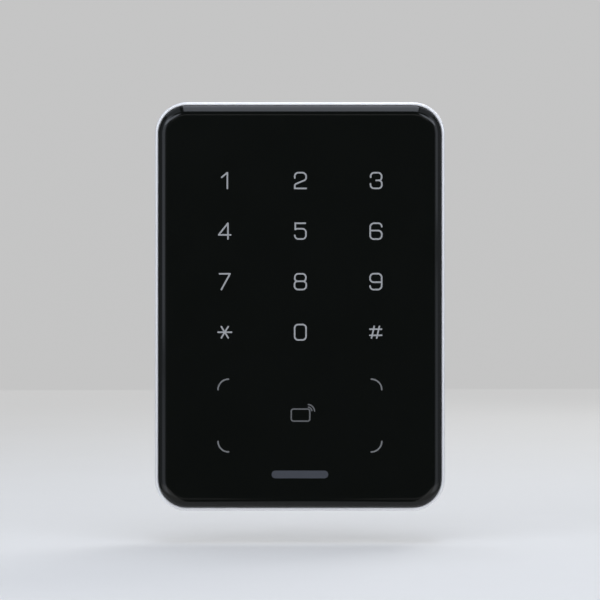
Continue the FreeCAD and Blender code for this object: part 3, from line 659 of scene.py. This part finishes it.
def print_card_zone():
    """Four corner marks, the card symbol with its two waves, and a plain bar at the foot."""
    for place, sx, sz, first in CORNER_MARKS:
        x = CARD_X + sx * (CORNER_HALF_X - CORNER_ARC_R)
        z = CARD_Z + sz * (CORNER_HALF_Z - CORNER_ARC_R)
        points = arc_points((x, z), CORNER_ARC_R, first, first + 90)
        printed(f"card_corner_{place}", [(points, False, CORNER_STROKE)], CORNER_INK)
    r = SYMBOL_CORNER
    outline = [
        (SYMBOL_LEFT, SYMBOL_LOW, r), (SYMBOL_RIGHT, SYMBOL_LOW, r),
        (SYMBOL_RIGHT, SYMBOL_HIGH, r), (SYMBOL_LEFT, SYMBOL_HIGH, r),
    ]
    strokes = [(filleted(outline, True), True, SYMBOL_STROKE)]
    for radius, first, last in WAVES:
        strokes.append((arc_points(WAVE_CENTRE, radius, first, last), False, SYMBOL_STROKE))
    printed("card_symbol", strokes, SYMBOL_INK)
    bar = [(-BAR_LENGTH / 2, BAR_Z), (BAR_LENGTH / 2, BAR_Z)]
    printed("plain_bar_mark", [(bar, False, BAR_STROKE)], BAR_INK)


# ---------------------------------------------------------------- stage


def stage_material():
    """Pale paper that takes the light near the object and glows evenly further out."""
    s = Surface("studio_paper", specular=0.1)
    away = s.node("ShaderNodeVectorMath", operation="LENGTH")
    s.link(s.place, away.inputs[0])
    distance = away.outputs["Value"]
    near_paper = s.mix(s.noise(3, detail=3), *NEAR_PAPER)
    s.colour(s.mix(s.ramp(distance, NEAR_R, FAR_R), near_paper, FAR_PAPER))
    s.roughness(s.noise(60), 0.85, 0.95)
    s.shader.inputs["Emission Color"].default_value = (*WHITE, 1.0)
    glow = s.ramp(distance, NEAR_R, FAR_R, NEAR_GLOW, FAR_GLOW)
    s.link(glow, s.shader.inputs["Emission Strength"])
    return s.material


def turned(name, profile, material, closed_middle):
    """A stage piece from (half width, half depth, height) ovals about the Z axis."""
    bm = bmesh.new()
    rings = []
    for rx, ry, z in profile:
        ring = []
        for n in range(ROOM_SIDES):
            angle = 2 * math.pi * n / ROOM_SIDES
            ring.append(bm.verts.new((rx * math.cos(angle), ry * math.sin(angle), z)))
        rings.append(ring)
    if closed_middle:
        bm.faces.new(rings[0])
    for a, b in zip(rings, rings[1:]):
        for n in range(ROOM_SIDES):
            m = (n + 1) % ROOM_SIDES
            bm.faces.new((a[n], a[m], b[m], b[n])).smooth = True
    bmesh.ops.recalc_face_normals(bm, faces=bm.faces)
    obj = new_object(name, bm)
    obj.data.materials.append(material)
    return obj


def studio_room():
    """A round pale floor that curves up into a round pale wall.

    Only the small disc under the object shows in reflections, so that the glass stays black.
    """
    floor_z = CAD_BOX[0][2] - FLOOR_DROP
    paper = stage_material()
    disc = (*DISC_HALF, floor_z)
    turned("studio_disc", [disc], paper, closed_middle=True)
    profile = [disc]
    for n in range(COVE_STEPS + 1):
        angle = math.radians(90) * n / COVE_STEPS
        r = ROOM_R - COVE_R + COVE_R * math.sin(angle)
        profile.append((r, r, floor_z + COVE_R * (1 - math.cos(angle))))
    profile.append((ROOM_R, ROOM_R, ROOM_TOP))
    room = turned("studio_floor", profile, paper, closed_middle=False)
    room.visible_glossy = False


def softbox(name, place, size, radiance, colour, target=MIDDLE):
    """A rectangular light of even radiance, whatever its size."""
    light = bpy.data.lights.new(name, "AREA")
    light.shape = "RECTANGLE"
    light.size, light.size_y = size
    light.energy = radiance * math.pi * size[0] * size[1]
    light.color = colour
    obj = bpy.data.objects.new(name, light)
    obj.location = place
    obj.rotation_euler = (Vector(target) - Vector(place)).to_track_quat("-Z", "Y").to_euler()
    obj.visible_camera = False
    bpy.context.scene.collection.objects.link(obj)


def overhead(name, x, width, radiance):
    """A softbox above the object, facing straight down."""
    place = (x, OVERHEAD_Y, OVERHEAD_Z)
    softbox(name, place, (width, OVERHEAD_DEPTH), radiance, SKY, (x, OVERHEAD_Y, 0.0))


def light_scene():
    """The softboxes, the dim world and the plain tone curve."""
    overhead("overhead", 0.03, 0.36, 2.85)
    for side, sign in (("left", -1), ("right", 1)):
        overhead(f"overhead_{side}", sign * 0.52, 0.56, 0.62)
        for name, (x, y, z), size, radiance, colour in PAIRED_LIGHTS:
            softbox(f"{side}_{name}", (sign * x, y, z), size, radiance, colour)
    for name, place, size, radiance, colour in SINGLE_LIGHTS:
        softbox(name, place, size, radiance, colour)
    world = bpy.data.worlds.new("studio_world")
    world.use_nodes = True
    background = world.node_tree.nodes["Background"]
    background.inputs["Color"].default_value = WORLD_COLOUR
    background.inputs["Strength"].default_value = WORLD_STRENGTH
    bpy.context.scene.world = world
    bpy.context.scene.view_settings.view_transform = "Standard"


def place_camera():
    """A long lens, square to the front of the object."""
    data = bpy.data.cameras.new("photo_camera")
    data.lens = LENS_MM
    data.sensor_width = SENSOR_MM
    data.clip_start = CLIP_NEAR
    data.clip_end = CLIP_FAR
    camera = bpy.data.objects.new("photo_camera", data)
    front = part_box("metal_frame")[0].y
    distance = LENS_MM / SENSOR_MM * VIEW_WIDTH_MM * MM
    camera.location = (LOOK_X, front - distance, LOOK_Z)
    camera.rotation_euler = (math.radians(90), 0, 0)
    bpy.context.scene.collection.objects.link(camera)
    bpy.context.scene.camera = camera


place_camera()
dress_cad_nodes()
glass_panel()
print_legends()
print_card_zone()
studio_room()
light_scene()
